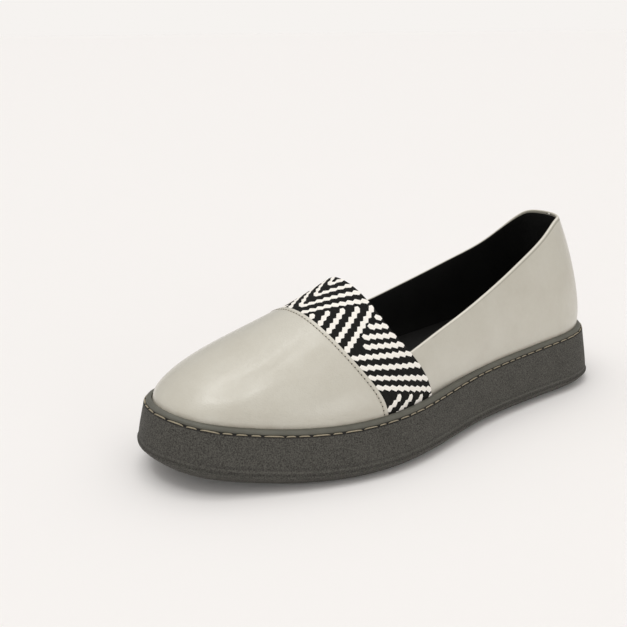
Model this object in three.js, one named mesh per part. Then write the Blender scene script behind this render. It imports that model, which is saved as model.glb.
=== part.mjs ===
// A left slip-on flat shoe on a thick wedge sole, in millimetres.
// The toe points to -Y, the heel to +Y, the outer side of the foot to +X, and the sole rests on z = 0.
import * as THREE from 'three';

// Sole sizes
const soleLength = 262; // along the stitch groove, heel to toe
const ballWidth = 96; // across the stitch groove at the ball
const heelThickness = 30.6; // floor to the groove at the heel
const ballThickness = 23.2; // floor to the groove under the ball
const toeSpring = 9.2; // how far the tip of the toe lifts
const springStart = 0.7; // share of the length where the lift begins
const footHeight = 5; // rounded foot of the sidewall, up to the parting bead
const footFlare = 3.6; // how far the foot stands out past the groove
const beadHeight = 0.9; // parting bead round the sidewall
const beadOut = 0.4;
const edgeBevel = 0.6; // broken top edge of the sidewall
const grooveWidth = 1.0; // from the sidewall's top edge to the welt
const grooveDepth = 0.5; // the seat of welt and upper lies this far below the edge

// Welt sizes
const weltWidth = 2.3;
const weltRise = 2.2; // above the sidewall's top edge

// Upper sizes
const gap = 0.3; // between pieces that touch on the real shoe
const instepHeight = 56.4; // ridge of the upper above the groove, at 60% of the length
const backHeight = 63.5; // back of the heel above the groove
const wall = 3.0; // upper leather, stiffener and lining together
const bandThickness = 0.9;
const bandDepth = 0.7; // the band lies this far below the vamp's skin
const quarterDepth = 1.3; // and the quarters this far
const wallBulge = 0.9; // leather swelling just above the welt
const bulgeHeight = 8;
const heelSwell = 0.7; // round of the heel's back, halfway up
const swellReach = 0.24; // share of the length where that round has died out

// Insole size
const insoleThickness = 3.2;

const bandSeatDepth = bandDepth + bandThickness + gap;
const upperInset = grooveWidth + weltWidth + gap;

// The outline at the groove: shares of the length from the heel, and shares of the ball width.
const OUTLINE = [
  { at: 0.03, lateral: 0.253, medial: 0.235 },
  { at: 0.08, lateral: 0.327, medial: 0.308 },
  { at: 0.16, lateral: 0.351, medial: 0.349 },
  { at: 0.27, lateral: 0.368, medial: 0.348 },
  { at: 0.38, lateral: 0.401, medial: 0.326 },
  { at: 0.48, lateral: 0.464, medial: 0.329 },
  { at: 0.58, lateral: 0.530, medial: 0.378 },
  { at: 0.67, lateral: 0.543, medial: 0.450 },
  { at: 0.75, lateral: 0.502, medial: 0.489 },
  { at: 0.83, lateral: 0.423, medial: 0.474 },
  { at: 0.90, lateral: 0.332, medial: 0.413 },
  { at: 0.96, lateral: 0.228, medial: 0.303 },
];
const tipShift = -0.045; // the tip leans to the big toe, a share of the ball width

// How the sole thins from heel to ball: 1 is the heel's thickness and 0 the ball's.
const WEDGE = [
  { at: 0.00, heel: 1.00 },
  { at: 0.20, heel: 0.66 },
  { at: 0.40, heel: 0.38 },
  { at: 0.55, heel: 0.14 },
  { at: 0.70, heel: 0.05 },
  { at: 0.85, heel: 0.02 },
  { at: 1.00, heel: 0.11 },
];

// The sidewall's foot: up as a share of footHeight, out as a share of footFlare.
const FOOT = [
  { up: 0.00, out: -1.00 },
  { up: 0.06, out: -0.42 },
  { up: 0.30, out: 0.10 },
  { up: 0.60, out: 0.61 },
  { up: 0.84, out: 0.89 },
  { up: 1.00, out: 1.00 },
];

// The sidewall above the bead: up as a share of what is left, out as a share of footFlare.
const SIDEWALL = [
  { up: 0.00, out: 0.96 },
  { up: 0.16, out: 0.87 },
  { up: 0.36, out: 0.68 },
  { up: 0.56, out: 0.47 },
  { up: 0.76, out: 0.25 },
  { up: 0.92, out: 0.08 },
];

// The welt's rounded back: across as a share of its width, up as a share of its rise.
const WELT = [
  { across: 0.00, up: 0.25 },
  { across: 0.08, up: 0.56 },
  { across: 0.32, up: 0.84 },
  { across: 0.66, up: 0.98 },
  { across: 1.00, up: 1.00 },
];

// The ridge of the last above the groove, as shares of instepHeight. Behind 0.6 it is only
// the shape that the side walls lean in towards.
const RIDGE = [
  { at: 0.00, height: 1.80, roundness: 1.10, fullness: 1.69 },
  { at: 0.10, height: 1.75, roundness: 1.20, fullness: 1.72 },
  { at: 0.25, height: 1.80, roundness: 1.40, fullness: 1.78 },
  { at: 0.40, height: 1.52, roundness: 1.58, fullness: 1.83 },
  { at: 0.50, height: 1.24, roundness: 1.70, fullness: 1.86 },
  { at: 0.60, height: 1.00, roundness: 1.81, fullness: 1.88 },
  { at: 0.70, height: 0.79, roundness: 1.92, fullness: 1.90 },
  { at: 0.80, height: 0.61, roundness: 2.03, fullness: 1.92 },
  { at: 0.90, height: 0.39, roundness: 2.14, fullness: 1.94 },
  { at: 1.00, height: 0.08, roundness: 2.26, fullness: 1.96 },
];

// Where the ridge runs, as shares of the ball width.
const RIDGE_PATH = [
  { at: 0.00, aside: 0.000 },
  { at: 0.50, aside: -0.042 },
  { at: 0.75, aside: -0.012 },
  { at: 1.00, aside: -0.072 },
];

// The top edge of the quarters above the groove, as shares of backHeight.
const TOPLINE = [
  { at: 0.00, lateral: 1.000, medial: 1.000 },
  { at: 0.03, lateral: 0.998, medial: 0.990 },
  { at: 0.06, lateral: 1.000, medial: 0.955 },
  { at: 0.10, lateral: 0.975, medial: 0.872 },
  { at: 0.15, lateral: 0.898, medial: 0.760 },
  { at: 0.22, lateral: 0.790, medial: 0.670 },
  { at: 0.30, lateral: 0.666, medial: 0.602 },
  { at: 0.40, lateral: 0.540, medial: 0.532 },
  { at: 0.50, lateral: 0.458, medial: 0.465 },
  { at: 0.60, lateral: 0.383, medial: 0.383 },
];

// The instep band's edges: climb runs from the welt (0) to the ridge (1), and rear and front
// are shares of the length.
const BAND = [
  { climb: 0.00, rear: 0.523, front: 0.646 },
  { climb: 0.15, rear: 0.541, front: 0.657 },
  { climb: 0.30, rear: 0.567, front: 0.676 },
  { climb: 0.45, rear: 0.592, front: 0.693 },
  { climb: 0.60, rear: 0.604, front: 0.704 },
  { climb: 0.80, rear: 0.610, front: 0.711 },
  { climb: 1.00, rear: 0.613, front: 0.713 },
];
const cornerClimb = 0.317; // where the quarters' top edge runs under the band

// Mesh density
const toeColumns = 20;
const bandColumns = 5;
const quarterColumns = 24;
const lowRows = 7;
const highRows = 10;

// Where the section lines fan out round the toe and the heel, as shares of the length.
const TOE_FAN = { from: 0.78, to: 0.9 };
const HEEL_FAN = { from: 0.22, to: 0.12 };
const poleReach = 0.8; // ridge points closer than this to the fan's centre are that centre

// A cubic spline through knots, natural at its ends or closed with a period.
function spline(knots, values, period = 0) {
  const n = knots.length;
  const bend = new Array(n).fill(0);
  const at = (i) => (i + n) % n;
  const span = (i) => (i === n - 1 ? knots[0] + period - knots[n - 1] : knots[i + 1] - knots[i]);
  const rise = (i) => (values[at(i + 1)] - values[i]) / span(i);
  const first = period ? 0 : 1;
  for (let round = 0; round < 60; round++) {
    for (let i = first; i < n - first; i++) {
      const before = at(i - 1);
      const pull = 6 * (rise(i) - rise(before)) - span(before) * bend[before] - span(i) * bend[at(i + 1)];
      bend[i] = pull / (2 * (span(before) + span(i)));
    }
  }
  return (x) => {
    let s = period ? (((x - knots[0]) % period) + period) % period + knots[0] : x;
    let i = 0;
    while (i < n - (period ? 1 : 2) && s > knots[i + 1]) i++;
    const h = span(i);
    const b = (s - knots[i]) / h;
    const a = 1 - b;
    const curve = ((a ** 3 - a) * bend[i] + (b ** 3 - b) * bend[at(i + 1)]) * h * h / 6;
    return a * values[i] + b * values[at(i + 1)] + curve;
  };
}

const column = (table, key, scale = 1) => table.map((row) => row[key] * scale);
const profile = (table, key, value, scale = 1) => spline(column(table, key), column(table, value, scale));
const yOf = (share) => soleLength * (0.5 - share);
const shareOf = (y) => 0.5 - y / soleLength;

// The closed outline, from the heel's centre down the lateral side to the toe and back.
const loop = [
  [0, yOf(0)],
  ...OUTLINE.map((row) => [row.lateral * ballWidth, yOf(row.at)]),
  [tipShift * ballWidth, yOf(1)],
  ...OUTLINE.map((row) => [-row.medial * ballWidth, yOf(row.at)]).reverse(),
];
const travel = [0];
for (let i = 0; i < loop.length; i++) {
  const next = loop[(i + 1) % loop.length];
  travel.push(travel[i] + Math.hypot(next[0] - loop[i][0], next[1] - loop[i][1]));
}
const girth = travel.pop();
const tipTravel = travel[OUTLINE.length + 1];
const loopX = spline(travel, loop.map((p) => p[0]), girth);
const loopY = spline(travel, loop.map((p) => p[1]), girth);

// v runs from the heel (0) to the toe (1) on either side, evenly round both ends.
const shareAt = (v) => (1 - Math.cos(Math.PI * v)) / 2;
const vOf = (share) => Math.acos(1 - 2 * share) / Math.PI;

function travelAt(side, v) {
  if (v <= 0) return 0;
  if (v >= 1) return tipTravel;
  const y = yOf(shareAt(v));
  let [near, far] = side > 0 ? [0, tipTravel] : [girth, tipTravel];
  for (let i = 0; i < 40; i++) {
    const mid = (near + far) / 2;
    if (loopY(mid) > y) near = mid;
    else far = mid;
  }
  return (near + far) / 2;
}

// A point beside the outline, with out measured square to it.
function beside(side, v, out) {
  const s = travelAt(side, v);
  const step = 0.05;
  const dx = loopX(s + step) - loopX(s - step);
  const dy = loopY(s + step) - loopY(s - step);
  const size = Math.hypot(dx, dy);
  const normal = [-dy / size, dx / size];
  return { x: loopX(s) + normal[0] * out, y: loopY(s) + normal[1] * out, normal };
}

// Heights along the shoe
const wedge = profile(WEDGE, 'at', 'heel');
const clampShare = (y) => Math.min(1, Math.max(0, shareOf(y)));
const floorZ = (y) => toeSpring * (Math.max(0, clampShare(y) - springStart) / (1 - springStart)) ** 2;
const edgeZ = (y) => floorZ(y) + ballThickness + (heelThickness - ballThickness) * wedge(clampShare(y));
const seatZ = (y) => edgeZ(y) - grooveDepth;

const ridgeHeight = profile(RIDGE, 'at', 'height', instepHeight);
const roundness = profile(RIDGE, 'at', 'roundness');
const fullness = profile(RIDGE, 'at', 'fullness');
const ridgeX = profile(RIDGE_PATH, 'at', 'aside', ballWidth);
const topline = { 1: profile(TOPLINE, 'at', 'lateral', backHeight), [-1]: profile(TOPLINE, 'at', 'medial', backHeight) };
const bandRear = profile(BAND, 'climb', 'rear');
const bandFront = profile(BAND, 'climb', 'front');

// Where a section line ends on the ridge. Round the toe and the heel the lines fan out.
function ridgeShare(share) {
  for (const [fan, end] of [[TOE_FAN, 1], [HEEL_FAN, 0]]) {
    const r = (share - fan.from) / (end - fan.from);
    if (r <= 0) continue;
    const power = (end - fan.from) / (fan.to - fan.from);
    return fan.from + (fan.to - fan.from) * (1 - (1 - r) ** power);
  }
  return share;
}

// The quarters' skin lies on the last's surface, so the last widens behind the band by their depth.
function quarterBlend(share) {
  const r = Math.min(1, Math.max(0, (bandRear(0) - share) / 0.14));
  return r * r * (3 - 2 * r);
}

// A point of the last: v along the outline, climb from the welt (0) to the ridge (1).
function last(side, v, climb) {
  const share = shareAt(v);
  const foot = beside(side, v, -upperInset);
  let target = ridgeShare(share);
  const top = climb === 1;
  if (top && Math.abs(target - TOE_FAN.to) * soleLength < poleReach) target = TOE_FAN.to;
  const along = 1 - Math.cos(climb * Math.PI / 2);
  const y = foot.y + (yOf(target) - foot.y) * along;
  const footShare = clampShare(foot.y);
  const low = edgeZ(foot.y);
  const arch = 1 - (1 - along) ** roundness(footShare);
  const lift = Math.max(0, arch) ** (1 / fullness(footShare));
  const high = edgeZ(y) + ridgeHeight(clampShare(y));
  const z = low + lift * (high - low);
  const clear = Math.max(0, z - low - weltRise);
  const bulge = wallBulge * (clear / bulgeHeight) * Math.exp(1 - clear / bulgeHeight);
  const behind = Math.cos(Math.PI / 2 * Math.min(1, share / swellReach)) ** 2;
  const round = heelSwell * behind * Math.sin(Math.PI * Math.min(1, clear / (backHeight - weltRise)));
  const swell = (bulge + round) * (1 - along) + quarterDepth * quarterBlend(share);
  const x = foot.x + (ridgeX(target) - foot.x) * along + foot.normal[0] * swell;
  return new THREE.Vector3(x, y + foot.normal[1] * swell, z);
}

// How far up a section line the top edge of the quarters crosses it.
function toplineClimb(side, v) {
  const goal = edgeZ(yOf(shareAt(v))) + topline[side](shareAt(v));
  let [low, high] = [0, 1];
  for (let i = 0; i < 30; i++) {
    const mid = (low + high) / 2;
    if (last(side, v, mid).z < goal) low = mid;
    else high = mid;
  }
  return (low + high) / 2;
}


// The skin's normal there. Points that both sides share take the mean of both sides.
function skinNormal(side, v, climb) {
  const nearby = (half) => {
    const c = Math.min(0.96, Math.max(0.05, climb));
    const w = Math.min(0.995, Math.max(0.005, v));
    const along = last(half, w + 0.004, c).sub(last(half, w - 0.004, c));
    const up = last(half, w, c + 0.03).sub(last(half, w, c - 0.03));
    return up.cross(along).multiplyScalar(half).normalize();
  };
  const normal = nearby(side);
  if (climb === 1 || v <= 0 || v >= 1) normal.add(nearby(-side));
  if (climb < 0.06) normal.z = 0;
  return normal.normalize();
}

// One pillar of skin points up a section line, led by a point on the sole's seat.
function pillar(side, place, rows) {
  const points = rows.map((climb) => last(side, place(climb), climb));
  const normals = rows.map((climb) => skinNormal(side, place(climb), climb));
  const base = points[0].clone();
  base.z = seatZ(base.y) + gap;
  return { points: [base, ...points], normals: [normals[0], ...normals] };
}

const sink = (one, depth) => one.points.map((p, k) => p.clone().addScaledVector(one.normals[k], -depth));

const lowClimbs = Array.from({ length: lowRows + 1 }, (_, i) => cornerClimb * i / lowRows);
const highClimbs = Array.from({ length: highRows }, (_, i) => cornerClimb + (1 - cornerClimb) * (i + 1) / highRows);
const climbs = [...lowClimbs, ...highClimbs];
const steps = (count) => Array.from({ length: count + 1 }, (_, i) => i / count);

// Pillars from the toe's tip to the band, across the band, and on to the heel's centre.
const vampV = (pull) => (climb) => 1 + (vOf(bandFront(climb)) - 1) * pull;
const bandV = (pull, trim) => (climb) => {
  const front = bandFront(climb) - trim / soleLength;
  const rear = bandRear(climb) + trim / soleLength;
  return vOf(front + (rear - front) * pull);
};
const vampPillars = (side) => steps(toeColumns).map((pull) => pillar(side, vampV(pull), climbs));
const bandPillars = (side, trim) => steps(bandColumns).map((pull) => pillar(side, bandV(pull, trim), climbs));

function quarterPillars(side) {
  return steps(quarterColumns).map((pull) => {
    const reach = pull === 0 ? cornerClimb : toplineClimb(side, vOf(bandRear(cornerClimb)) * (1 - pull));
    const rows = lowClimbs.map((climb) => climb * reach / cornerClimb);
    return pillar(side, (climb) => vOf(bandRear(climb * cornerClimb / reach)) * (1 - pull), rows);
  });
}

// Triangles gathered into one closed solid. Points that fall together are one point.
class Skin {
  constructor() {
    this.points = [];
    this.index = new Map();
    this.faces = [];
  }

  id(p) {
    const key = [p.x, p.y, p.z].map((c) => Math.round(c * 100)).join();
    if (!this.index.has(key)) {
      this.index.set(key, this.points.length);
      this.points.push(p);
    }
    return this.index.get(key);
  }

  face(...corners) {
    const ids = corners.map((p) => this.id(p)).filter((id, i, all) => id !== all[(i + 1) % all.length]);
    for (let i = 1; i + 1 < ids.length; i++) this.faces.push([ids[0], ids[i], ids[i + 1]]);
  }

  // Quads between two lines of points, open or closed.
  strip(a, b, closed = false) {
    const count = closed ? a.length : a.length - 1;
    for (let i = 0; i < count; i++) {
      const j = (i + 1) % a.length;
      this.face(a[i], a[j], b[j], b[i]);
    }
  }

  // Rungs across a closed ring whose second half runs back beside the first.
  cap(ring) {
    const count = ring.length;
    for (let i = 0; i < count / 2; i++) {
      this.face(ring[i], ring[(count - i) % count], ring[count - i - 1], ring[i + 1]);
    }
  }

  geometry() {
    let volume = 0;
    for (const [a, b, c] of this.faces) {
      volume += this.points[a].dot(this.points[b].clone().cross(this.points[c]));
    }
    const faces = volume < 0 ? this.faces.map(([a, b, c]) => [a, c, b]) : this.faces;
    const shape = new THREE.BufferGeometry();
    const numbers = this.points.flatMap((p) => [p.x, p.y, p.z]);
    shape.setAttribute('position', new THREE.Float32BufferAttribute(numbers, 3));
    shape.setIndex(faces.flat());
    shape.computeVertexNormals();
    return shape;
  }
}

// The upper: one hollow wall, with a step down to the band's seat and one up to the quarters.
function upperGeometry() {
  const skin = new Skin();
  for (const side of [1, -1]) {
    const vamp = vampPillars(side);
    const band = bandPillars(side, 0);
    const quarter = quarterPillars(side);
    const turn = (a, b) => (side > 0 ? skin.strip(a, b) : skin.strip(b, a));
    const plate = (apex, ...rest) => skin.face(apex, ...(side > 0 ? rest : rest.reverse()));
    const low = lowRows + 2; // points of a pillar up to the corner of the throat

    const outer = [
      ...vamp.map((one) => sink(one, 0)),
      ...band.map((one) => sink(one, bandSeatDepth)),
      ...quarter.map((one) => sink(one, quarterDepth)),
    ];
    const inner = [...vamp, ...band, ...quarter].map((one) => sink(one, wall));
    const firstSeat = vamp.length;
    const lastSeat = firstSeat + band.length - 1;
    const firstQuarter = lastSeat + 1;

    for (let i = 0; i + 1 < outer.length; i++) {
      const rows = i >= lastSeat ? low : climbs.length + 1;
      turn(outer[i].slice(0, rows), outer[i + 1].slice(0, rows));
      const step = i + 1 === firstSeat || i === lastSeat;
      if (!step) turn(inner[i + 1].slice(0, rows), inner[i].slice(0, rows));
    }

    // The underside, with each step's inner corner joined in.
    for (let i = 0; i + 1 < outer.length; i++) {
      const [a, b, c, d] = [outer[i][0], outer[i + 1][0], inner[i + 1][0], inner[i][0]];
      if (i + 2 === firstSeat) plate(d, a, b, outer[firstSeat][0], c);
      else if (i === firstQuarter) plate(c, d, outer[lastSeat][0], a, b);
      else if (i + 1 !== firstSeat && i !== lastSeat) plate(a, b, c, d);
    }

    // The quarters' top edge, then the edge of the throat up to the ridge.
    for (let i = firstQuarter; i + 1 < outer.length; i++) {
      const [a, b, c, d] = [outer[i], outer[i + 1], inner[i + 1], inner[i]].map((line) => line[low - 1]);
      if (i === firstQuarter) plate(c, b, a, outer[lastSeat][low - 1], d);
      else plate(a, d, c, b);
    }
    turn(outer[lastSeat].slice(low - 1), inner[lastSeat].slice(low - 1));
  }
  return skin.geometry();
}

// The woven band: a strip from the welt on one side over the ridge to the other.
function bandGeometry() {
  const skin = new Skin();
  const across = [1, -1].map((side) => bandPillars(side, gap).map((one) => [
    sink(one, bandDepth),
    sink(one, bandDepth + bandThickness),
  ]));
  const whole = across[0].map((pair, i) => pair.map((line, k) => [
    ...line,
    ...across[1][i][k].slice(0, -1).reverse(),
  ]));
  for (let i = 0; i < bandColumns; i++) {
    skin.strip(whole[i][0], whole[i + 1][0]);
    skin.strip(whole[i + 1][1], whole[i][1]);
    for (const end of [0, whole[i][0].length - 1]) {
      const corners = [whole[i][0][end], whole[i][1][end], whole[i + 1][1][end], whole[i + 1][0][end]];
      skin.face(...(end === 0 ? corners.reverse() : corners));
    }
  }
  skin.strip(whole[0][1], whole[0][0]);
  skin.strip(whole[bandColumns][0], whole[bandColumns][1]);
  return skin.geometry();
}

// The stations that every ring round the shoe shares with the upper's pillars.
const stationV = [
  ...steps(toeColumns).map((pull) => vampV(pull)(0)),
  ...steps(bandColumns).slice(1).map((pull) => bandV(pull, 0)(0)),
  ...steps(quarterColumns).slice(1).map((pull) => vOf(bandRear(0)) * (1 - pull)),
];
const stations = [
  ...stationV.map((v) => ({ side: 1, v })),
  ...stationV.slice(1, -1).reverse().map((v) => ({ side: -1, v })),
];
function ring(out, height) {
  return stations.map(({ side, v }) => {
    const { x, y } = beside(side, v, out);
    return new THREE.Vector3(x, y, height(y));
  });
}

function outsoleGeometry() {
  const skin = new Skin();
  const beadTop = footHeight + beadHeight;
  const wallTop = (y) => edgeZ(y) - edgeBevel;
  const rings = [
    ...FOOT.map((row) => ring(row.out * footFlare, (y) => floorZ(y) + row.up * footHeight)),
    ring(footFlare + beadOut, (y) => floorZ(y) + footHeight + beadHeight * 0.25),
    ring(footFlare + beadOut, (y) => floorZ(y) + footHeight + beadHeight * 0.75),
    ...SIDEWALL.map((row) => ring(row.out * footFlare, (y) => {
      const foot = floorZ(y) + beadTop;
      return foot + row.up * (wallTop(y) - foot);
    })),
    ring(0, wallTop),
    ring(-edgeBevel, (y) => edgeZ(y) - edgeBevel * 0.2),
    ring(-grooveWidth * 0.8, seatZ),
  ];
  for (let i = 0; i + 1 < rings.length; i++) skin.strip(rings[i + 1], rings[i], true);
  skin.cap(rings[0].slice().reverse().map((_, i, all) => all[(i + all.length - 1) % all.length]));
  skin.cap(rings[rings.length - 1]);
  return skin.geometry();
}

function weltGeometry() {
  const skin = new Skin();
  const seat = (y) => seatZ(y) + gap;
  const rings = [
    ring(-grooveWidth, seat),
    ...WELT.map((row) => ring(-grooveWidth - row.across * weltWidth, (y) => edgeZ(y) + row.up * weltRise)),
    ring(-grooveWidth - weltWidth, seat),
  ];
  rings.forEach((one, i) => skin.strip(rings[(i + 1) % rings.length], one, true));
  return skin.geometry();
}

// The insole fills the upper's inside at the bottom, a gap away from the lining.
function insoleGeometry() {
  const skin = new Skin();
  const trims = {};
  for (const side of [1, -1]) {
    const pillars = [...vampPillars(side), ...bandPillars(side, 0).slice(1), ...quarterPillars(side).slice(1)];
    trims[side] = pillars.map((one) => {
      const lining = sink(one, wall);
      const outward = one.normals[0];
      const top = seatZ(lining[0].y) + gap + insoleThickness;
      const reached = lining.filter((p, k) => k < 2 || lining[k - 1].z < top);
      const tightest = Math.min(...reached.map((p) => p.dot(outward)));
      const inward = lining[0].dot(outward) - tightest + gap;
      return lining[0].clone().addScaledVector(outward, -inward);
    });
  }
  const trimRing = [...trims[1], ...trims[-1].slice(1, -1).reverse()];
  const level = (rise, inset) => trimRing.map((p) => {
    const centre = new THREE.Vector3(0, p.y, 0);
    const moved = p.clone().lerp(centre, inset / ballWidth);
    moved.z = seatZ(moved.y) + gap + rise;
    return moved;
  });
  const rings = [level(0, 0), level(insoleThickness - edgeBevel, 0), level(insoleThickness, edgeBevel * 2)];
  for (let i = 0; i + 1 < rings.length; i++) skin.strip(rings[i + 1], rings[i], true);
  skin.cap(rings[0].slice().reverse().map((_, i, all) => all[(i + all.length - 1) % all.length]));
  skin.cap(rings[rings.length - 1]);
  return skin.geometry();
}

const leather = new THREE.MeshStandardMaterial({ color: '#c8c3b7', roughness: 0.42 });
const weave = new THREE.MeshStandardMaterial({ color: '#dcd7cd', roughness: 0.85 });
const soleRubber = new THREE.MeshStandardMaterial({ color: '#4d4b46', roughness: 0.9 });
const weltRubber = new THREE.MeshStandardMaterial({ color: '#5f6058', roughness: 0.65 });
const lining = new THREE.MeshStandardMaterial({ color: '#1c1b1a', roughness: 0.75 });

const shoe = new THREE.Group();
function addPiece(name, geometry, material) {
  const piece = new THREE.Mesh(geometry, material);
  piece.name = name;
  shoe.add(piece);
  return piece;
}
const outsole = addPiece('outsole', outsoleGeometry(), soleRubber);
addPiece('welt', weltGeometry(), weltRubber);
addPiece('upper', upperGeometry(), leather);
addPiece('instep_band', bandGeometry(), weave);
addPiece('insole', insoleGeometry(), lining);

// The origin is on the floor under the middle of the sole.
const box = new THREE.Box3().setFromObject(outsole);
shoe.position.set(-(box.min.x + box.max.x) / 2, -(box.min.y + box.max.y) / 2, 0);

export default shoe;
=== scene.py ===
# %% [markdown]
# # A slip-on flat shoe on a thick wedge sole
# The shoe comes as five plain solids: outsole, welt, upper, instep band and insole. They have
# the right sizes and places, and they are faceted. This notebook gives each of them the surface
# of the real thing, and adds what a shoemaker sews on: stitches, seams and the woven tape.
# It starts from the solids, because they were cut on the true shape of the last.

# %% Load the solids and keep their box
import math
import random

import bmesh
import bpy
import numpy as np
from mathutils import Matrix, Vector
from mathutils.bvhtree import BVHTree
from mathutils.kdtree import KDTree


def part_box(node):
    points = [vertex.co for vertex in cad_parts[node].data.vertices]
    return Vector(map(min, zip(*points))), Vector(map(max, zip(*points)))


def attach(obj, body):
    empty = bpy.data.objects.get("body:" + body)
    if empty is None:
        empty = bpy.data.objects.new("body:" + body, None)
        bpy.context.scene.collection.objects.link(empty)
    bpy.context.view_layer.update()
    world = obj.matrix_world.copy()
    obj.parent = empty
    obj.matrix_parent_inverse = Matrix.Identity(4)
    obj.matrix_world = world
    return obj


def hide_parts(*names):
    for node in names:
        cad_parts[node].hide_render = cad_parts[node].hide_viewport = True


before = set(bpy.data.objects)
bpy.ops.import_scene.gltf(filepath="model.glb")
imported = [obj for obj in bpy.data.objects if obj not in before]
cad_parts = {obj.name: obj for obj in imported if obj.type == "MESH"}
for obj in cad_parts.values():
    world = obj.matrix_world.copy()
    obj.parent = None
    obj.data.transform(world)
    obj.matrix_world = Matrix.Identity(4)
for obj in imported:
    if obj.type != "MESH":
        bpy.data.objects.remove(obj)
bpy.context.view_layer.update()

MM = 0.001
for name in sorted(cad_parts):
    low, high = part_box(name)
    print(name, "size in mm", [round(c / MM, 1) for c in high - low])

# %% [markdown]
# ## Camera
# The picture was taken from the outer side of the foot, a little above the floor, with the toe
# to the lower left. A camera can be aimed with a constraint, or its axes can be worked out from
# two angles and a roll. The axes are worked out here, so the same numbers give the same picture.

# %% Camera from azimuth, elevation, distance and roll
azimuth = math.radians(55.492)
elevation = math.radians(17.495)
roll = math.radians(-0.64)
distance = 480.57 * MM
target = Vector((-42.15, -18.6, 47.9)) * MM
frame_pixels = 627
focal_pixels = 900
sensor = 36.0

back = Vector((
    math.sin(azimuth) * math.cos(elevation),
    -math.cos(azimuth) * math.cos(elevation),
    math.sin(elevation),
))
level_right = (-back).cross(Vector((0, 0, 1))).normalized()
level_up = level_right.cross(-back)
right = level_right * math.cos(roll) + level_up * math.sin(roll)
up = level_up * math.cos(roll) - level_right * math.sin(roll)

lens = bpy.data.cameras.new("camera")
lens.sensor_width = sensor
lens.lens = sensor * focal_pixels / frame_pixels
lens.clip_start = 0.01
camera = bpy.data.objects.new("camera", lens)
axes = Matrix((right, up, back)).transposed().to_4x4()
camera.matrix_world = Matrix.Translation(target + back * distance) @ axes
bpy.context.collection.objects.link(camera)
bpy.context.scene.camera = camera
print("lens", round(lens.lens, 2), "mm, camera at", [round(c, 3) for c in camera.location])

# %% [markdown]
# ## Floor and light
# The shoe stands on a seamless white floor inside a white tent, which is brighter at its roof.
# One long soft lamp bends round above the toe for the gloss, a weak one stands behind, and two
# low reflectors lift the sides. They could be area lights near the shoe, but those fall off
# across the floor. Sun lamps with a wide angle are as soft and light the whole floor alike.


# %% Small helpers for node trees
def new_material(name, **sockets):
    """A material with a Principled shader. Sockets are set by their names, with _ for a space."""
    made = bpy.data.materials.new(name)
    made.use_nodes = True
    shader = made.node_tree.nodes["Principled BSDF"]
    for key, value in sockets.items():
        shader.inputs[key.replace("_", " ")].default_value = value
    return made, made.node_tree, shader


def add_node(tree, kind, **settings):
    """A node with its settings. A setting named after an input socket fills that socket."""
    node = tree.nodes.new(kind)
    for key, value in settings.items():
        label = key.replace("_", " ")
        if hasattr(node, key):
            setattr(node, key, value)
        else:
            node.inputs[label].default_value = value
    return node


def math_node(tree, operation, first, second=None, third=None):
    """A math node. Each input is a number or the output of another node."""
    node = tree.nodes.new("ShaderNodeMath")
    node.operation = operation
    for socket, value in zip(node.inputs, (first, second, third)):
        if isinstance(value, (int, float)):
            socket.default_value = value
        elif value is not None:
            tree.links.new(value, socket)
    return node.outputs["Value"]


def limit(tree, value):
    """Holds a value between 0 and 1."""
    return math_node(tree, "MINIMUM", math_node(tree, "MAXIMUM", value, 0.0), 1.0)


# %% Floor, surroundings and lamps
page_white = (0.921, 0.896, 0.871, 1)
tent_walls = 0.36
tent_roof_adds = 0.86
bpy.ops.object.select_all(action="DESELECT")
bpy.ops.mesh.primitive_circle_add(vertices=96, radius=60, fill_type="NGON", location=(0, 0, 0))
floor = bpy.context.object
floor.name = "floor"
floor_white, _, _ = new_material(
    "seamless_floor", Base_Color=(0.852, 0.832, 0.820, 1), Roughness=0.9, Specular_IOR_Level=0.1,
    Emission_Color=(0.03, 0.029, 0.028, 1), Emission_Strength=1.0
)
floor.data.materials.append(floor_white)

surroundings = bpy.data.worlds.new("white_tent")
bpy.context.scene.world = surroundings
surroundings.use_nodes = True
tree = surroundings.node_tree
tent = tree.nodes["Background"]
tent.inputs["Color"].default_value = (1.0, 0.985, 0.965, 1)
# The tent's walls are dimmer than its roof, so the floor is darkest under the toe.
toward = add_node(tree, "ShaderNodeTexCoord")
parts = add_node(tree, "ShaderNodeSeparateXYZ")
tree.links.new(toward.outputs["Generated"], parts.inputs["Vector"])
upward = math_node(tree, "MAXIMUM", parts.outputs["Z"], 0.0)
squared = math_node(tree, "MULTIPLY", upward, upward)
tent_light = math_node(tree, "MULTIPLY_ADD", squared, tent_roof_adds, tent_walls)
tree.links.new(tent_light, tent.inputs["Strength"])
backdrop = add_node(tree, "ShaderNodeBackground")
backdrop.inputs["Color"].default_value = page_white
seen = add_node(tree, "ShaderNodeLightPath")
mix = add_node(tree, "ShaderNodeMixShader")
tree.links.new(seen.outputs["Is Camera Ray"], mix.inputs["Fac"])
tree.links.new(tent.outputs["Background"], mix.inputs[1])
tree.links.new(backdrop.outputs["Background"], mix.inputs[2])
tree.links.new(mix.outputs["Shader"], tree.nodes["World Output"].inputs["Surface"])


def sun(name, from_azimuth, height, strength, spread):
    """A soft lamp far away. Azimuth 0 is in front of the toe and 90 on the outer side."""
    a, h = math.radians(from_azimuth), math.radians(height)
    toward = Vector((math.sin(a) * math.cos(h), -math.cos(a) * math.cos(h), math.sin(h)))
    lamp = bpy.data.lights.new(name, "SUN")
    lamp.energy = strength
    lamp.angle = math.radians(spread)
    thing = bpy.data.objects.new(name, lamp)
    thing.matrix_world = toward.to_track_quat("Z", "Y").to_matrix().to_4x4()
    bpy.context.collection.objects.link(thing)


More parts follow.
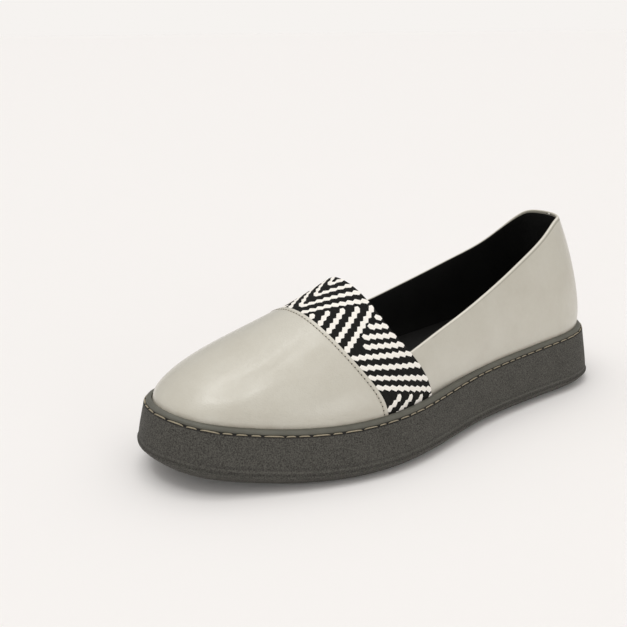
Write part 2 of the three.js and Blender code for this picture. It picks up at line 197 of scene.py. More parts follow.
# The long softbox bends round above the toe and runs back over the inner side.
softbox = [
    # azimuth, height, strength
    (52, 66, 0.10),
    (28, 66, 0.12),
    (4, 66, 0.14),
    (-20, 66, 0.13),
    (-48, 70, 0.09),
    (-78, 76, 0.07),
    (-108, 82, 0.07),
]
for number, (from_azimuth, height, strength) in enumerate(softbox):
    sun("softbox_part_" + str(number), from_azimuth, height, strength, spread=15)
sun("rear_softbox", from_azimuth=-125, height=62, strength=0.12, spread=16)
sun("side_reflector", from_azimuth=98, height=10, strength=0.36, spread=30)
sun("front_reflector", from_azimuth=35, height=8, strength=0.14, spread=30)
bpy.context.scene.view_settings.view_transform = "Standard"
print("floor and", len(bpy.data.lights), "lamps")

# %% [markdown]
# ## Shared effects
# Several finishes need the same things: tones that drift over the surface, a fine grain that
# catches the light, and the twist of a thread. Each is made once as a node group with named
# inputs, and every material sets its own values. The first two read Object coordinates and the
# thread reads its own UV map, all in metres, so the patterns keep their real scale.


# %% Node groups
def new_group(name, inputs, outputs):
    """An empty shader group. Inputs are (name, socket type, value) and outputs (name, type)."""
    group = bpy.data.node_groups.new(name, "ShaderNodeTree")
    for label, kind, value in inputs:
        socket = group.interface.new_socket(label, in_out="INPUT", socket_type=kind)
        socket.default_value = value
    for label, kind in outputs:
        group.interface.new_socket(label, in_out="OUTPUT", socket_type=kind)
    return group, group.nodes.new("NodeGroupInput"), group.nodes.new("NodeGroupOutput")


def place_group(tree, group, **values):
    """One use of a group, with its inputs set by their names."""
    node = tree.nodes.new("ShaderNodeGroup")
    node.node_tree = group
    for key, value in values.items():
        node.inputs[key.replace("_", " ")].default_value = value
    return node


FLOAT, COLOR = "NodeSocketFloat", "NodeSocketColor"

# Drifting tones: two noises of different size mix a base tone with a second one.
drift, source, sink = new_group(
    "drifting_tones",
    [
        ("Base", COLOR, (0.5, 0.5, 0.5, 1)),
        ("Second", COLOR, (0.4, 0.4, 0.4, 1)),
        ("Patch per metre", FLOAT, 40.0),
        ("Speck per metre", FLOAT, 600.0),
        ("Patch amount", FLOAT, 0.5),
        ("Speck amount", FLOAT, 0.5),
    ],
    [("Color", COLOR), ("Mask", FLOAT)],
)
here = add_node(drift, "ShaderNodeTexCoord")
patches = add_node(drift, "ShaderNodeTexNoise", Detail=3.0, Roughness=0.55)
specks = add_node(drift, "ShaderNodeTexNoise", Detail=2.0, Roughness=0.6)
for noise, rate in ((patches, "Patch per metre"), (specks, "Speck per metre")):
    drift.links.new(here.outputs["Object"], noise.inputs["Vector"])
    drift.links.new(source.outputs[rate], noise.inputs["Scale"])
from_patches = math_node(drift, "MULTIPLY_ADD", patches.outputs["Fac"], 3.0, -1.0)
from_specks = math_node(drift, "MULTIPLY_ADD", specks.outputs["Fac"], 3.0, -1.0)
patch_share = math_node(drift, "MULTIPLY", from_patches, source.outputs["Patch amount"])
both = math_node(drift, "MULTIPLY_ADD", from_specks, source.outputs["Speck amount"], patch_share)
mask = limit(drift, both)
tones = add_node(drift, "ShaderNodeMix", data_type="RGBA")
drift.links.new(mask, tones.inputs["Factor"])
drift.links.new(source.outputs["Base"], tones.inputs[6])
drift.links.new(source.outputs["Second"], tones.inputs[7])
drift.links.new(tones.outputs[2], sink.inputs["Color"])
drift.links.new(mask, sink.inputs["Mask"])

# Grain: rounded pebbles from cells, softened by noise.
grain, source, sink = new_group(
    "pebble_grain",
    [
        ("Pebbles per metre", FLOAT, 1200.0),
        ("Dents per metre", FLOAT, 80.0),
        ("Dent amount", FLOAT, 1.0),
    ],
    [("Height", FLOAT)],
)
here = add_node(grain, "ShaderNodeTexCoord")
cells = add_node(grain, "ShaderNodeTexVoronoi", feature="SMOOTH_F1", Smoothness=0.6)
dents = add_node(grain, "ShaderNodeTexNoise", Detail=2.0, Roughness=0.5)
grain.links.new(here.outputs["Object"], cells.inputs["Vector"])
grain.links.new(here.outputs["Object"], dents.inputs["Vector"])
grain.links.new(source.outputs["Pebbles per metre"], cells.inputs["Scale"])
grain.links.new(source.outputs["Dents per metre"], dents.inputs["Scale"])
pebbles = math_node(grain, "SUBTRACT", 1.0, cells.outputs["Distance"])
dented = math_node(grain, "MULTIPLY", dents.outputs["Fac"], source.outputs["Dent amount"])
grain.links.new(math_node(grain, "ADD", pebbles, dented), sink.inputs["Height"])

# Yarn: fine strands along u in the piece's own UV map, which holds metres.
yarn, source, sink = new_group(
    "yarn_strands",
    [("Strands per metre", FLOAT, 2500.0), ("Fuzz per metre", FLOAT, 1500.0), ("Slant", FLOAT, 0.0)],
    [("Height", FLOAT), ("Fuzz", FLOAT)],
)
flat = add_node(yarn, "ShaderNodeUVMap")
parts = add_node(yarn, "ShaderNodeSeparateXYZ")
yarn.links.new(flat.outputs["UV"], parts.inputs["Vector"])
slanted = math_node(yarn, "MULTIPLY_ADD", parts.outputs["X"], source.outputs["Slant"], parts.outputs["Y"])
turns = math_node(yarn, "MULTIPLY", slanted, source.outputs["Strands per metre"])
wave = math_node(yarn, "SINE", math_node(yarn, "MULTIPLY", turns, math.tau))
hairs = add_node(yarn, "ShaderNodeTexNoise", Detail=3.0, Roughness=0.7)
yarn.links.new(flat.outputs["UV"], hairs.inputs["Vector"])
yarn.links.new(source.outputs["Fuzz per metre"], hairs.inputs["Scale"])
height = math_node(yarn, "MULTIPLY_ADD", wave, 0.35, hairs.outputs["Fac"])
yarn.links.new(height, sink.inputs["Height"])
yarn.links.new(hairs.outputs["Fac"], sink.inputs["Fuzz"])
print("groups:", [group.name for group in bpy.data.node_groups])

# %% [markdown]
# ## Finishes
# The leather is smooth and full-grained, with a soft gloss under a thin clear finish, so it gets
# a coat and very shallow dents that break the highlight. The sole is crumbed rubber, which is
# rough and speckled, and the welt is the same rubber moulded smooth. Inside is thin black
# leather. Edges, seams and grooves could be painted by hand. Here each is a band at a set
# distance from its line, held in an attribute, so the bands stay crisp and follow the shoe.
# The pale bands along rounded edges and ridges are painted highlights, and the dark bands are
# painted shade.


# %% Bump, bands and tints
def bump(tree, shader, height, depth, soften=None):
    """Feeds a height, in parts of a depth in metres, to the shader's normal."""
    node = add_node(tree, "ShaderNodeBump", Distance=depth, Strength=1.0)
    tree.links.new(height, node.inputs["Height"])
    if soften is not None:
        tree.links.new(soften, node.inputs["Normal"])
    tree.links.new(node.outputs["Normal"], shader.inputs["Normal"])


def vary(tree, mask, low, high):
    """A value that runs from low to high with a mask."""
    return math_node(tree, "MULTIPLY_ADD", mask, high - low, low)


def distance_band(tree, name, middle_at, half_width, strength=1.0):
    """The strength on a line at a distance held in an attribute, 0 beyond its half width."""
    away = add_node(tree, "ShaderNodeAttribute", attribute_name=name)
    offset = math_node(tree, "ABSOLUTE", math_node(tree, "SUBTRACT", away.outputs["Fac"], middle_at))
    inside = math_node(tree, "MULTIPLY_ADD", offset, -strength / half_width, strength)
    return limit(tree, inside)


def tint(tree, shader, mask, tone):
    """Mixes one more tone over the base colour where a mask says."""
    over = add_node(tree, "ShaderNodeMix", data_type="RGBA")
    before = shader.inputs["Base Color"].links[0].from_socket
    over.inputs[7].default_value = (*tone, 1)
    tree.links.new(mask, over.inputs["Factor"])
    tree.links.new(before, over.inputs[6])
    tree.links.new(over.outputs[2], shader.inputs["Base Color"])


def tint_bands(tree, shader, bands):
    """Tints bands, each (attribute, distance and half width in mm, strength, tone)."""
    for name, middle_at, half_width, strength, tone in bands:
        tint(tree, shader, distance_band(tree, name, middle_at * MM, half_width * MM, strength), tone)


# %% Leather
def leather_finish(name, base, second, rough, coat, pebble_depth, dent_amount):
    """Two tones that drift, a gloss that varies with them, and a fine grain with wider dents."""
    made, tree, shader = new_material(name, Coat_Roughness=0.24, Specular_IOR_Level=0.5)
    tone = place_group(
        tree, drift, Base=(*base, 1), Second=(*second, 1), Patch_per_metre=38.0,
        Speck_per_metre=420.0, Patch_amount=0.75, Speck_amount=0.22,
    )
    tree.links.new(tone.outputs["Color"], shader.inputs["Base Color"])
    tree.links.new(vary(tree, tone.outputs["Mask"], rough - 0.04, rough + 0.06), shader.inputs["Roughness"])
    tree.links.new(vary(tree, tone.outputs["Mask"], coat, coat * 0.7), shader.inputs["Coat Weight"])
    skin = place_group(
        tree, grain, Pebbles_per_metre=1500.0, Dents_per_metre=75.0, Dent_amount=dent_amount
    )
    bump(tree, shader, skin.outputs["Height"], pebble_depth)
    return made, tree, shader


# A pale tone, painted as the highlight along the rounded collar edge.
collar_highlight_tone = (0.95, 0.91, 0.82)
relief_depth = 0.07 * MM
greige_leather, tree, shader = leather_finish(
    "greige_leather", (0.578, 0.553, 0.477), (0.522, 0.492, 0.416), 0.34, 0.70, relief_depth, 6.0
)
# A painted highlight runs along the rounded collar edge, with painted shade in the shallow
# groove under it. Along the tape a paler band is a painted highlight on the puffed edge, and
# painted shade darkens the groove that holds the stitches.
tint_bands(tree, shader, [
    ("from_collar", 0.0, 1.1, 0.90, collar_highlight_tone),
    ("from_collar", 1.9, 0.5, 0.05, (0.33, 0.31, 0.25)),
    ("from_seam", 2.1, 0.7, 0.05, (0.34, 0.32, 0.26)),
    ("from_seam", 0.9, 0.9, 0.18, (0.74, 0.705, 0.62)),
])
stitch_groove = distance_band(tree, "from_seam", 2.1 * MM, 0.7 * MM)
collar_groove = distance_band(tree, "from_collar", 1.9 * MM, 0.5 * MM, 0.15)
grooves = math_node(tree, "ADD", stitch_groove, collar_groove)
groove_share = -1.5
relief = shader.inputs["Normal"].links[0].from_node.inputs["Height"]
skin_height = relief.links[0].from_socket
tree.links.new(math_node(tree, "MULTIPLY_ADD", grooves, groove_share, skin_height), relief)
# Painted shade darkens and browns the leather in the corner over the welt, in patches.
welt_shade_patches = place_group(
    tree, drift, Patch_per_metre=55.0, Speck_per_metre=260.0, Patch_amount=0.7, Speck_amount=0.6
)
near_welt = distance_band(tree, "from_welt", 0.0, 2.2 * MM)
painted_welt_shade = math_node(tree, "MULTIPLY", near_welt, vary(tree, welt_shade_patches.outputs["Mask"], 0.15, 0.75))
tint(tree, shader, painted_welt_shade, (0.33, 0.285, 0.215))


# %% Black sock and lining
def black_finish(name):
    """The thin black leather inside, nearly without gloss."""
    made, tree, shader = leather_finish(
        name, (0.0060, 0.0058, 0.0054), (0.0105, 0.0102, 0.0095), 0.58, 0.05, 0.08 * MM, 2.0
    )
    shader.inputs["Specular IOR Level"].default_value = 0.25
    return made, tree, shader


black_sock, _, _ = black_finish("black_sock")
black_lining, tree, shader = black_finish("black_lining")
# The outer leather is folded over the collar, a little along the sides and deeper at the heel.
soft_edge = 0.2 * MM
folded = add_node(tree, "ShaderNodeAttribute", attribute_name="fold_in")
leather_here = limit(tree, math_node(tree, "MULTIPLY_ADD", folded.outputs["Fac"], 1 / soft_edge, 0.5))
tint(tree, shader, leather_here, (0.38, 0.36, 0.30))
# The same painted highlight along the rounded collar edge as on the outer leather.
tint_bands(tree, shader, [("from_collar", 0.0, 1.3, 0.90, collar_highlight_tone)])


# %% Rubber
def rubber_finish(name, base, second, rough, patch, speck, speck_rate, pebble_rate, pebble_depth):
    """Rates are per metre, and patch and speck say how much of the second tone comes through."""
    made, tree, shader = new_material(name, Specular_IOR_Level=0.35)
    tone = place_group(
        tree, drift, Base=(*base, 1), Second=(*second, 1), Patch_per_metre=60.0,
        Speck_per_metre=speck_rate, Patch_amount=patch, Speck_amount=speck,
    )
    tree.links.new(tone.outputs["Color"], shader.inputs["Base Color"])
    tree.links.new(vary(tree, tone.outputs["Mask"], rough, rough - 0.12), shader.inputs["Roughness"])
    skin = place_group(
        tree, grain, Pebbles_per_metre=pebble_rate, Dents_per_metre=pebble_rate * 0.4, Dent_amount=1.2
    )
    bump(tree, shader, skin.outputs["Height"], pebble_depth)
    return made, tree, shader


crumb_rubber, tree, shader = rubber_finish(
    "crumb_rubber", (0.024, 0.022, 0.019), (0.097, 0.093, 0.080), 0.85, 0.12, 1.0, 1700.0, 2200.0,
    0.12 * MM
)
# A pale line where the two halves of the mould met is a painted highlight, with a painted
# shadow over it, and painted shade darkens the stitch groove.
tint_bands(tree, shader, [
    ("from_parting", 1.5, 0.7, 0.3, (0.022, 0.020, 0.018)),
    ("from_parting", 0.4, 0.6, 0.7, (0.17, 0.165, 0.145)),
    ("from_groove", 0.0, 1.1, 2.2, (0.008, 0.007, 0.006)),
])
smooth_rubber, tree, shader = rubber_finish(
    "smooth_rubber", (0.092, 0.090, 0.072), (0.132, 0.129, 0.106), 0.55, 0.5, 0.3, 300.0, 900.0,
    0.06 * MM
)
# Painted shade darkens the stitch groove in the welt.
tint_bands(tree, shader, [("from_groove", 0.0, 0.8, 2.0, (0.010, 0.009, 0.008))])

# %% Tread
tread_rubber, tree, shader = rubber_finish(
    "tread_rubber", (0.024, 0.023, 0.020), (0.060, 0.058, 0.050), 0.8, 0.3, 0.6, 1300.0, 1800.0, 0.1 * MM
)
# Fine crossed ribs under the sole, with painted shade in their valleys.
here = add_node(tree, "ShaderNodeTexCoord")
parts = add_node(tree, "ShaderNodeSeparateXYZ")
tree.links.new(here.outputs["Object"], parts.inputs["Vector"])
ribs_per_metre = 170
crossed = []
for operation in ("ADD", "SUBTRACT"):
    diagonal = math_node(tree, operation, parts.outputs["X"], parts.outputs["Y"])
    crossed.append(math_node(tree, "SINE", math_node(tree, "MULTIPLY", diagonal, math.tau * ribs_per_metre)))
raised = math_node(tree, "MAXIMUM", crossed[0], crossed[1])
valley = math_node(tree, "MAXIMUM", math_node(tree, "MULTIPLY", raised, -1.4), 0.0)
tint(tree, shader, valley, (0.010, 0.0095, 0.009))
bump(tree, shader, raised, 0.45 * MM, soften=shader.inputs["Normal"].links[0].from_socket)


# %% Yarn and thread
def yarn_finish(name, base, second, rough, strands, slant, depth):
    """Twisted strands with a fuzz between two tones."""
    made, tree, shader = new_material(name, Specular_IOR_Level=0.2)
    twist = place_group(tree, yarn, Strands_per_metre=strands, Slant=slant)
    tones = add_node(tree, "ShaderNodeMix", data_type="RGBA")
    tones.inputs[6].default_value = (*base, 1)
    tones.inputs[7].default_value = (*second, 1)
    tree.links.new(vary(tree, twist.outputs["Fuzz"], -0.6, 1.6), tones.inputs["Factor"])
    tree.links.new(tones.outputs[2], shader.inputs["Base Color"])
    tree.links.new(vary(tree, twist.outputs["Fuzz"], rough - 0.1, rough + 0.1), shader.inputs["Roughness"])
    bump(tree, shader, twist.outputs["Height"], depth)
    return made


white_yarn = yarn_finish(
    "white_yarn", (1.0, 0.965, 0.905), (0.93, 0.885, 0.81), 0.8, 2600.0, 0.0, 0.08 * MM
)
black_yarn = yarn_finish(
    "black_yarn", (0.005, 0.0049, 0.0044), (0.015, 0.0145, 0.013), 0.85, 2600.0, 0.0, 0.15 * MM
)
tan_thread = yarn_finish(
    "tan_thread", (0.49, 0.425, 0.31), (0.30, 0.26, 0.18), 0.7, 3200.0, 0.6, 0.12 * MM
)
seam_thread = yarn_finish(
    "seam_thread", (0.62, 0.58, 0.49), (0.50, 0.46, 0.38), 0.6, 4000.0, 0.6, 0.08 * MM
)
# Dark pieces in the needle holes are painted shade, standing in for the shadow inside the holes.
hole_shade_finish, _, _ = rubber_finish(
    "painted_hole_shade", (0.05, 0.044, 0.036), (0.10, 0.09, 0.072), 0.9, 0.3, 0.3, 900.0, 1500.0, 0.05 * MM
)
print("materials:", len(bpy.data.materials))

# %% [markdown]
# ## Helpers
# Every piece goes through the same few steps: it is the only one selected, it is opened in edit
# mode with nothing selected, edges and faces are picked by where they lie, and modifiers are
# applied. Small functions for these steps keep each cell about the piece itself.
# A few more measure along lines and from them.


# %% Selecting and editing
def work_on(piece):
    """Makes a piece the active object and the only one selected."""
    bpy.ops.object.select_all(action="DESELECT")
    bpy.context.view_layer.objects.active = piece
    piece.select_set(True)


def open_edit(piece, parts="FACE"):
    """Opens a piece in edit mode with nothing selected."""
    work_on(piece)
    bpy.ops.object.mode_set(mode="EDIT")
    bpy.ops.mesh.select_mode(type=parts)
    bpy.ops.mesh.select_all(action="DESELECT")


def close_edit():
    bpy.ops.object.mode_set(mode="OBJECT")


def pick(piece, parts, wanted):
    """In edit mode, adds the parts (verts, edges or faces) that pass a test to the selection."""
    mesh = bmesh.from_edit_mesh(piece.data)
    count = 0
    for part in getattr(mesh, parts):
        if wanted(part):
            part.select_set(True)
            count += 1
    bmesh.update_edit_mesh(piece.data)
    return count


def middle(part):
    """The middle of an edge or a face."""
    return sum((v.co for v in part.verts), Vector()) / len(part.verts)


def apply_modifier(piece, kind, **settings):
    """Adds one modifier and applies it at once."""
    work_on(piece)
    made = piece.modifiers.new(kind.lower(), kind)
    for key, value in settings.items():
        setattr(made, key, value)
    bpy.ops.object.modifier_apply(modifier=made.name)


def subdivide(piece, levels):
    """Rounds a piece with a subdivision surface. Creased edges stay sharp."""
    apply_modifier(piece, "SUBSURF", levels=levels, render_levels=levels)


def surface_of(piece):
    return BVHTree.FromObject(piece, bpy.context.evaluated_depsgraph_get())


def reach_of(line):
    """The way along a line, from its start to each of its points."""
    return np.concatenate([[0], np.cumsum(np.linalg.norm(np.diff(line, axis=0), axis=1))])


def dense(line, step=0.4 * MM):
    """The same line with points every step."""
    reach = reach_of(line)
    wanted = np.arange(0, reach[-1], step)
    return np.stack([np.interp(wanted, reach, line[:, c]) for c in range(3)], -1)


def tree_of(points):
    """A tree that finds the nearest of many points."""
    made = KDTree(len(points))
    for i, point in enumerate(points):
        made.insert(point, i)
    made.balance()
    return made


def hold_distance(piece, name, tree):
    """Keeps each point's distance to a line in an attribute, which the materials read."""
    held = piece.data.attributes.new(name, "FLOAT", "POINT")
    for vertex in piece.data.vertices:
        held.data[vertex.index].value = tree.find(vertex.co)[2]


def finish_piece(piece, node, slot, *materials):
    """Gives a piece its materials and shading, hangs it under the root, hides the solid it replaces
    and prints its faces.
    """
    for one in materials:
        piece.data.materials.append(one)
    work_on(piece)
    bpy.ops.object.shade_smooth_by_angle(angle=math.radians(40))
    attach(piece, "root")
    if node:
        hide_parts(node)
    print(piece.name, "has", len(piece.data.polygons), "faces")


# %% [markdown]
# ## Clean copies of the solids
# A solid arrives as loose triangles, where every triangle has its own corners. The copy's corners
# are merged, and pairs of triangles are joined back to quads, because a subdivision surface
# flows along quads. Edges that turn sharply get a crease, so they survive the rounding.

# %% Copies with merged corners, quads and creases
merge_distance = 0.01 * MM
sharp_turn = math.radians(35)


def clean_copy(node, name):
    piece = bpy.data.objects.new(name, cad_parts[node].data.copy())
    bpy.context.collection.objects.link(piece)
    piece.data.materials.clear()
    open_edit(piece)
    bpy.ops.mesh.customdata_custom_splitnormals_clear()
    bpy.ops.mesh.select_all(action="SELECT")
    bpy.ops.mesh.remove_doubles(threshold=merge_distance)
    bpy.ops.mesh.dissolve_degenerate(threshold=merge_distance)
    bpy.ops.mesh.tris_convert_to_quads(face_threshold=sharp_turn, shape_threshold=math.radians(60))
    close_edit()
    return piece


def crease_turns(piece):
    """Creases every edge that turns sharply."""
    open_edit(piece, "EDGE")
    bpy.ops.mesh.edges_select_sharp(sharpness=sharp_turn)
    bpy.ops.transform.edge_crease(value=1)
    close_edit()


def spread_from(piece, start, direction):
    """In edit mode, selects the face that a ray meets and all that joins it without a sharp turn."""
    place, _, index, _ = surface_of(piece).ray_cast(Vector(start) * MM, Vector(direction))
    open_edit(piece)
    mesh = bmesh.from_edit_mesh(piece.data)
    mesh.faces.ensure_lookup_table()
    mesh.faces[index].select_set(True)
    mesh.faces.active = mesh.faces[index]
    bmesh.update_edit_mesh(piece.data)
    bpy.ops.mesh.faces_select_linked_flat(sharpness=sharp_turn)


def chain(pairs):
    """Puts pairs of joined points in order, as one line of their numbers."""
    beside = {}
    for a, b in pairs:
        beside.setdefault(a, []).append(b)
        beside.setdefault(b, []).append(a)
    ends = [a for a, others in beside.items() if len(others) == 1]
    line = [min(ends) if ends else min(beside)]
    while True:
        onward = [b for b in beside[line[-1]] if b not in line[-2:] and b != line[0]]
        if not onward:
            return line
        line.append(onward[0])


def sharp_loops(node, turn):
    """The closed lines along which a solid turns by more than an angle, as arrays of places."""
    piece = clean_copy(node, "loops")
    open_edit(piece, "EDGE")
    mesh = bmesh.from_edit_mesh(piece.data)
    left = [tuple(v.index for v in e.verts) for e in mesh.edges if e.calc_face_angle(0) > turn]
    places = {v.index: v.co.copy() for v in mesh.verts}
    close_edit()
    bpy.data.objects.remove(piece)
    loops = []
    while left:
        group = {left[0][0]}
        size = 0
        while len(group) > size:
            size = len(group)
            for pair in left:
                if pair[0] in group or pair[1] in group:
                    group.update(pair)
        loops.append(chain([pair for pair in left if pair[0] in group]))
        left = [pair for pair in left if pair[0] not in group]
    return [np.array([places[i][:] for i in loop]) for loop in loops if len(loop) > 20]


# %% [markdown]
# ## Outsole, welt and insole
# The outsole is one block of crumbed rubber, with a rounded foot, a thin parting ridge round it
# and a groove for the stitches. The solids already have these forms, so the copies are only
# rounded. Modelling them again from a primitive would lose the true outline.

# %% Outsole
outsole = clean_copy("outsole", "sole_unit")
crease_turns(outsole)
subdivide(outsole, 2)
finish_piece(outsole, "outsole", "sole_rubber", crumb_rubber, tread_rubber)
tread_below = 8 * MM
under = [f for f in outsole.data.polygons if f.normal.z < -0.85 and f.center.z < tread_below]
for face in under:
    face.material_index = 1
print(len(under), "faces with tread")

# %% Welt
round_ends = 100 * MM
pressed_by = 0.35 * MM


def looks_inward(face):
    """True on a steep face of the welt that looks to the middle of the shoe."""
    at = face.calc_center_median()
    at_end = abs(at.y) > round_ends and face.normal.y * at.y < 0
    return abs(face.normal.z) < 0.7 and (face.normal.x * at.x < 0 or at_end)


welt = clean_copy("welt", "welt_strip")
open_edit(welt)
inner_wall = pick(welt, "faces", looks_inward)
bpy.ops.transform.shrink_fatten(value=pressed_by)
close_edit()
print("welt's inner wall,", inner_wall, "faces, pressed against the leather")
crease_turns(welt)
subdivide(welt, 2)
finish_piece(welt, "welt", "welt_rubber", smooth_rubber)

# %% Insole
insole = clean_copy("insole", "sock_insole")
crease_turns(insole)
subdivide(insole, 2)
finish_piece(insole, "insole", "lining", black_sock)

# %% [markdown]
# ## The way of the tape
# The band over the instep is a woven tape. A weaver makes it flat, and the shoemaker lays it over
# the last. It is modelled the same way: flat first, then laid. Its solid is a strip of small
# quads, so the corners of its outer face, row by row, say where each point of the flat tape goes.
# Smooth curves through the rows and columns give every place between them.

# %% The outer face of the band's solid, as rows of corners
guide = clean_copy("instep_band", "tape_guide")
tape_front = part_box("instep_band")[0].y / MM
over_tape = (-4, tape_front + 12, 200)
spread_from(guide, over_tape, (0, 0, -1))
bpy.ops.mesh.select_all(action="INVERT")
bpy.ops.mesh.delete(type="FACE")
close_edit()

neighbours = {v.index: [] for v in guide.data.vertices}
for edge in guide.data.edges:
    a, b = edge.vertices
    neighbours[a].append(b)
    neighbours[b].append(a)
corners = [a for a, others in neighbours.items() if len(others) == 2]
first = max(corners, key=lambda a: guide.data.vertices[a].co.x - guide.data.vertices[a].co.y)
row = [first]
for start in sorted(neighbours[first]):
    walk = [first, start]
    while len(neighbours[walk[-1]]) == 3:
        walk.append(next(b for b in neighbours[walk[-1]] if b not in walk and len(neighbours[b]) < 4))
    if len(row) == 1 or len(walk) < len(row):
        row = walk
rows = [row]
used = set(row)
while True:
    step = [[b for b in neighbours[a] if b not in used] for a in rows[-1]]
    if not all(step):
        break
    rows.append([options[0] for options in step])
    used.update(rows[-1])
strip = np.array([[guide.data.vertices[a].co[:] for a in line] for line in rows])
bpy.data.objects.remove(guide)
print("the band's face has", strip.shape[0], "rows of", strip.shape[1], "corners")


# %% From the flat tape to the shoe
def spline_weights(place, count):
    """For a place along a row of points: the first of the four points round it, and their shares."""
    start = np.clip(np.floor(place).astype(int), 0, count - 2)
    t = place - start
    shares = np.stack([
        -0.5 * t + t ** 2 - 0.5 * t ** 3,
        1 - 2.5 * t ** 2 + 1.5 * t ** 3,
        0.5 * t + 2 * t ** 2 - 1.5 * t ** 3,
        -0.5 * t ** 2 + 0.5 * t ** 3,
    ], -1)
    return start, shares


def extend(rows):
    """One more row before the first and after the last, in line with the two beside it."""
    return np.concatenate([2 * rows[:1] - rows[1:2], rows, 2 * rows[-1:] - rows[-2:-1]])


padded = extend(extend(strip).swapaxes(0, 1)).swapaxes(0, 1)
centre_line = strip[:, strip.shape[1] // 2 - 1:strip.shape[1] // 2 + 1].mean(1)
along = reach_of(centre_line)
ridge = along[int(np.argmax(centre_line[:, 2]))]
tape_width = np.linalg.norm(strip[:, 0] - strip[:, -1], axis=1).mean()
outer_reach = ridge
inner_reach = along[-1] - ridge
print("tape", round(tape_width / MM, 1), "mm wide, from the ridge", round(outer_reach / MM, 1),
      "mm to the outer welt and", round(inner_reach / MM, 1), "mm to the inner one")


def on_tape(s, d):
    """Places on the shoe for points s along the tape from the ridge, outwards positive, and d
    across it from the front edge."""
    row_place = np.interp(ridge - s, along, np.arange(len(along)))
    column_place = d / tape_width * (strip.shape[1] - 1)
    i, row_shares = spline_weights(row_place, strip.shape[0])
    j, column_shares = spline_weights(column_place, strip.shape[1])
    total = np.zeros((len(s), 3))
    for a in range(4):
        for b in range(4):
            total += padded[i + a, j + b] * (row_shares[:, a] * column_shares[:, b])[:, None]
    return total


inside_height = 30 * MM


def lay(flat):
    """Bends flat points (along, across, height) onto the shoe."""
    flat = np.asarray(flat, float)
    s, d, h = flat[:, 0], flat[:, 1], flat[:, 2]
    step = 0.4 * MM
    place = on_tape(s, d)
    over_s = on_tape(s + step, d) - on_tape(s - step, d)
    over_d = on_tape(s, d + step) - on_tape(s, d - step)
    normal = np.cross(over_s, over_d)
    normal /= np.maximum(np.linalg.norm(normal, axis=1), 1e-12)[:, None]
    outward = place - np.array([0, place[:, 1].mean(), inside_height])
    normal *= np.sign((normal * outward).sum(1))[:, None]
    return place + normal * h[:, None]


def lay_piece(piece):
    """Keeps the flat shape as the UV map, then lays the piece over the instep."""
    mesh = piece.data
    flat = np.array([v.co[:] for v in mesh.vertices])
    for layer in list(mesh.uv_layers):
        mesh.uv_layers.remove(layer)
    uv = mesh.uv_layers.new(name="flat_tape")
    for loop in mesh.loops:
        uv.data[loop.index].uv = flat[loop.vertex_index, :2]
    mesh.vertices.foreach_set("co", lay(flat).ravel())
    mesh.update()
    open_edit(piece)
    bpy.ops.mesh.select_all(action="SELECT")
    bpy.ops.mesh.normals_make_consistent(inside=False)
    close_edit()

# %% [markdown]
# ## Upper
# The upper is one hollow shell. The shoemaker cuts a vamp and quarters, skives their edges and
# folds the leather over the collar, with black lining inside. The solid has the steps where the
# tape goes, so the copy keeps them. Its collar is bevelled round, and where the leather stops
# and the lining starts is chosen by region.

# %% Upper: which faces are which
upper = clean_copy("upper", "leather_upper")
upper.data.materials.append(greige_leather)
upper.data.materials.append(black_lining)
LEATHER, LINING = 0, 1

role = {}
for label, start, direction in (
    ("vamp", (0, -300, 40), (0, 1, 0)),
    ("quarters", (0, 300, 60), (0, -1, 0)),
    ("lining", (0, 60, 60), (0, 1, 0)),
    ("seat", over_tape, (0, 0, -1)),
):
    spread_from(upper, start, direction)
    close_edit()
    chosen = [face.index for face in upper.data.polygons if face.select]
    role.update({index: label for index in chosen})
    print(label, len(chosen), "faces")

band_bottom = 40 * MM
throat_reach = 3.4 * MM
vamp_reach = 6 * MM
for face in upper.data.polygons:
    if face.index not in role and face.center.z > band_bottom:
        from_rear, from_front = (
            np.linalg.norm(edge - np.array(face.center), axis=1).min() for edge in (strip[:, -1], strip[:, 0])
        )
        if from_rear < throat_reach:
            role[face.index] = "throat"
        elif from_front > vamp_reach:
            role[face.index] = "rim"
    if role.get(face.index) in ("lining", "seat", "throat", "rim"):
        face.material_index = LINING
print({label: list(role.values()).count(label) for label in set(role.values())})

# %% Upper: collar line and round collar edge
def between(edge, one, other):
    return {role.get(face.index) for face in edge.link_faces} == {one, other}


collar_outer = []
open_edit(upper, "EDGE")
mesh = bmesh.from_edit_mesh(upper.data)
for edge in mesh.edges:
    if between(edge, "rim", "quarters"):
        collar_outer.append(tuple(v.index for v in edge.verts))
collar_line = np.array([upper.data.vertices[i].co[:] for i in chain(collar_outer)])
bevelled = pick(upper, "edges", lambda e: between(e, "rim", "quarters") or between(e, "rim", "lining"))
bpy.ops.mesh.bevel(offset=0.6 * MM, segments=2, affect="EDGES", clamp_overlap=True, material=LINING)
close_edit()
print("collar line", len(collar_line), "points,", bevelled, "edges rounded")


collar_tree = tree_of(dense(collar_line))
seam_s = np.arange(-inner_reach, outer_reach, 0.4 * MM)
band_front = on_tape(seam_s, np.full(len(seam_s), -0.3 * MM))
band_tree = tree_of(band_front)

# %% Upper: creases, rounding and soft folds
soft_reach = 2.4 * MM
throat_back = -5 * MM
open_edit(upper, "EDGE")
bpy.ops.mesh.edges_select_sharp(sharpness=sharp_turn)
mesh = bmesh.from_edit_mesh(upper.data)
for edge in mesh.edges:
    at = middle(edge)
    if edge.select and at.y > throat_back and collar_tree.find(at)[2] < soft_reach:
        edge.select_set(False)
mesh.select_flush_mode()
bmesh.update_edit_mesh(upper.data)
bpy.ops.transform.edge_crease(value=1)
close_edit()
subdivide(upper, 2)

